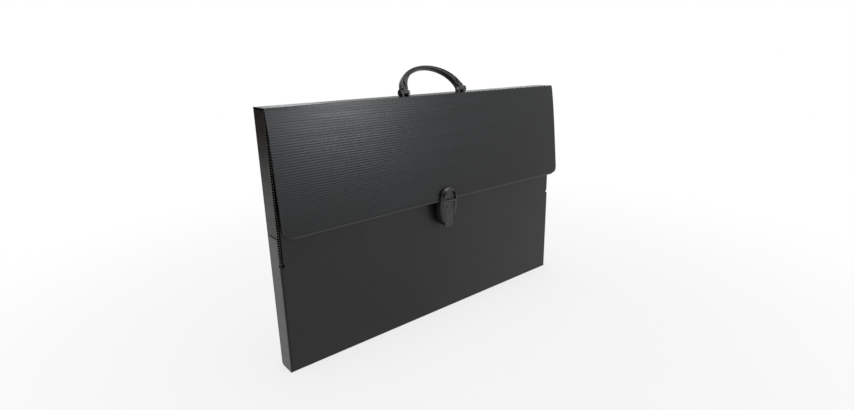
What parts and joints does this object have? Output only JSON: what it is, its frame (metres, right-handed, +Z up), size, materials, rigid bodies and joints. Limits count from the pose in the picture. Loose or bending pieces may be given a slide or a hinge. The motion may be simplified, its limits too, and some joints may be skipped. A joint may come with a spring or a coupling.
{
  "type": "drawing portfolio case",
  "caption": "Slim case for drawings, folded from fluted plastic sheet, with a hinged lid, a deep front flap, an oval lever latch and an arched carrying handle.",
  "frame": {"origin": "centre of the case's underside, midway between its front and back faces", "axes": "+X along the case's width, +Y from the front panel to the back panel, +Z up through the lid and the handle"},
  "size_m": [0.482, 0.0559, 0.3487],
  "materials": {
    "fluted_sheet": "dark grey extruded twin-wall plastic with a satin skin",
    "handle_plastic": "satin charcoal moulding",
    "anchor_plastic": "light grey moulding",
    "latch_plastic": "polished black moulding",
    "lever_plastic": "satin dark grey moulding",
    "pin_steel": "plain drawn steel",
    "screw_steel": "blackened steel",
    "plate_steel": "plain rolled steel"
  },
  "bodies": {
    "case": {"back_panel": "fluted_sheet", "bottom_panel": "fluted_sheet", "front_panel": "fluted_sheet", "left_inner_side": "fluted_sheet", "right_inner_side": "fluted_sheet", "left_outer_side": "fluted_sheet", "right_outer_side": "fluted_sheet", "latch_keeper": "latch_plastic", "keeper_screws": "screw_steel", "keeper_backing_plate": "plate_steel"},
    "lid": {"top_panel": "fluted_sheet", "handle_anchor_left": "anchor_plastic", "handle_anchor_right": "anchor_plastic"},
    "handle": {"handle_grip": "handle_plastic", "handle_pin_left": "pin_steel", "handle_pin_right": "pin_steel"},
    "flap": {"closing_flap": "fluted_sheet", "latch_body": "latch_plastic", "latch_screws": "screw_steel", "latch_backing_plate": "plate_steel", "latch_pin": "pin_steel"},
    "lever": {"latch_lever": "lever_plastic"}
  },
  "joints": [
    {"name": "lid_hinge", "type": "hinge", "parent": "case", "child": "lid", "pos_m": [0, 0.01441, 0.31141], "axis": [-1, 0, 0], "range_deg": [0, 150]},
    {"name": "flap_hinge", "type": "hinge", "parent": "lid", "child": "flap", "pos_m": [0, -0.01453, 0.31148], "axis": [-1, 0, 0], "range_deg": [0, 120]},
    {"name": "handle_swing", "type": "hinge", "parent": "lid", "child": "handle", "pos_m": [0, -0.003, 0.3165], "axis": [-1, 0, 0], "range_deg": [-95, 0]},
    {"name": "lever_pivot", "type": "hinge", "parent": "flap", "child": "lever", "pos_m": [0, -0.03169, 0.16515], "axis": [-1, 0, 0], "range_deg": [0, 50]}
  ]
}
